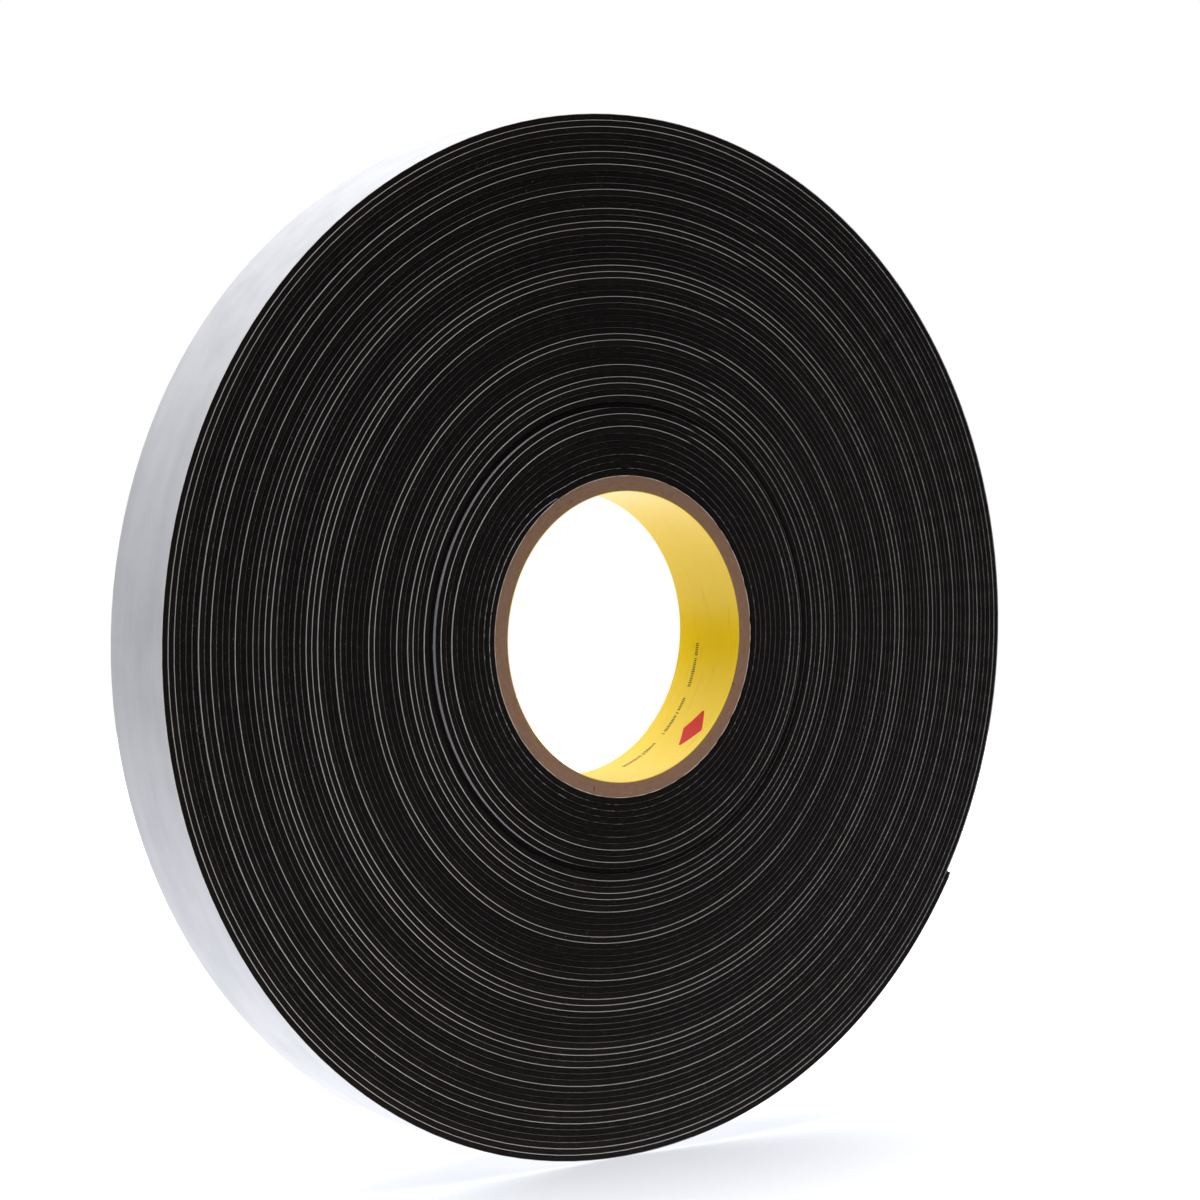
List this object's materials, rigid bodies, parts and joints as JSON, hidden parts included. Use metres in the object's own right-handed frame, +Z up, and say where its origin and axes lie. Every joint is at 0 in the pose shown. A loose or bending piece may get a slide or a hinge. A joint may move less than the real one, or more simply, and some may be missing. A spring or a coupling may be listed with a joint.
{
  "type": "foam tape roll",
  "caption": "Upright roll of black single-coated foam tape with a pale release liner outside, wound on a paperboard core with a yellow bore; its free end lifts and the liner peels.",
  "frame": {"origin": "centre of the core's bore, halfway across the roll's width", "axes": "+Y along the roll's axis, away from the front; +Z up, with the roll standing on its rim"},
  "size_m": [0.2718, 0.0254, 0.2727],
  "materials": {
    "vinyl_foam": "matt closed-cell vinyl foam, slit edge with fine open pores",
    "release_liner": "smooth silicone-coated white paper, faint sheen",
    "acrylic_adhesive": "clear glossy pressure-sensitive coat over black foam",
    "double_sided_tissue_tape": "thin translucent tissue with adhesive on both sides",
    "yellow_printed_paper": "printed paper, slight gloss",
    "kraft_board": "cut edge of recycled kraft paperboard, fibrous and matt",
    "kraft_paper": "kraft paper, matt"
  },
  "bodies": {
    "roll": {"core_print_ply": "yellow_printed_paper", "core_board_ply_1": "kraft_board", "core_board_ply_2": "kraft_board", "core_board_ply_3": "kraft_board", "core_board_ply_4": "kraft_board", "core_cover_ply": "kraft_paper", "start_strip": "double_sided_tissue_tape", "foam_winding": "vinyl_foam", "liner_winding": "release_liner"},
    "tail_1": {"tail_foam_1": "vinyl_foam", "tail_adhesive_1": "acrylic_adhesive", "tail_liner_1": "release_liner"},
    "tail_2": {"tail_foam_2": "vinyl_foam", "tail_adhesive_2": "acrylic_adhesive", "tail_liner_2": "release_liner"},
    "tail_3": {"tail_foam_3": "vinyl_foam", "tail_adhesive_3": "acrylic_adhesive", "tail_liner_3": "release_liner"},
    "liner_flap_1": {"liner_flap_1": "release_liner"},
    "liner_flap_2": {"liner_flap_2": "release_liner"},
    "liner_flap_3": {"liner_flap_3": "release_liner"}
  },
  "joints": [
    {"name": "tail_lift", "type": "hinge", "parent": "roll", "child": "tail_1", "pos_m": [0.03881, 0, -0.13121], "axis": [0, 1, 0], "range_deg": [0, 12]},
    {"name": "tail_bend_2", "type": "hinge", "parent": "tail_1", "child": "tail_2", "pos_m": [0.06994, 0, -0.11834], "axis": [0, 1, 0], "range_deg": [0, 12]},
    {"name": "tail_bend_3", "type": "hinge", "parent": "tail_2", "child": "tail_3", "pos_m": [0.09741, 0, -0.09846], "axis": [0, 1, 0], "range_deg": [0, 12]},
    {"name": "liner_peel", "type": "hinge", "parent": "tail_3", "child": "liner_flap_1", "pos_m": [0.10323, 0, -0.09087], "axis": [0, 1, 0], "range_deg": [0, 50]},
    {"name": "liner_curl_2", "type": "hinge", "parent": "liner_flap_1", "child": "liner_flap_2", "pos_m": [0.10802, 0, -0.08431], "axis": [0, 1, 0], "range_deg": [0, 50]},
    {"name": "liner_curl_3", "type": "hinge", "parent": "liner_flap_2", "child": "liner_flap_3", "pos_m": [0.11279, 0, -0.07777], "axis": [0, 1, 0], "range_deg": [0, 50]}
  ],
  "couplings": [
    {"joint": "tail_bend_2", "follows": "tail_lift", "ratio": 1},
    {"joint": "tail_bend_3", "follows": "tail_lift", "ratio": 1},
    {"joint": "liner_curl_2", "follows": "liner_peel", "ratio": 1},
    {"joint": "liner_curl_3", "follows": "liner_peel", "ratio": 1}
  ]
}
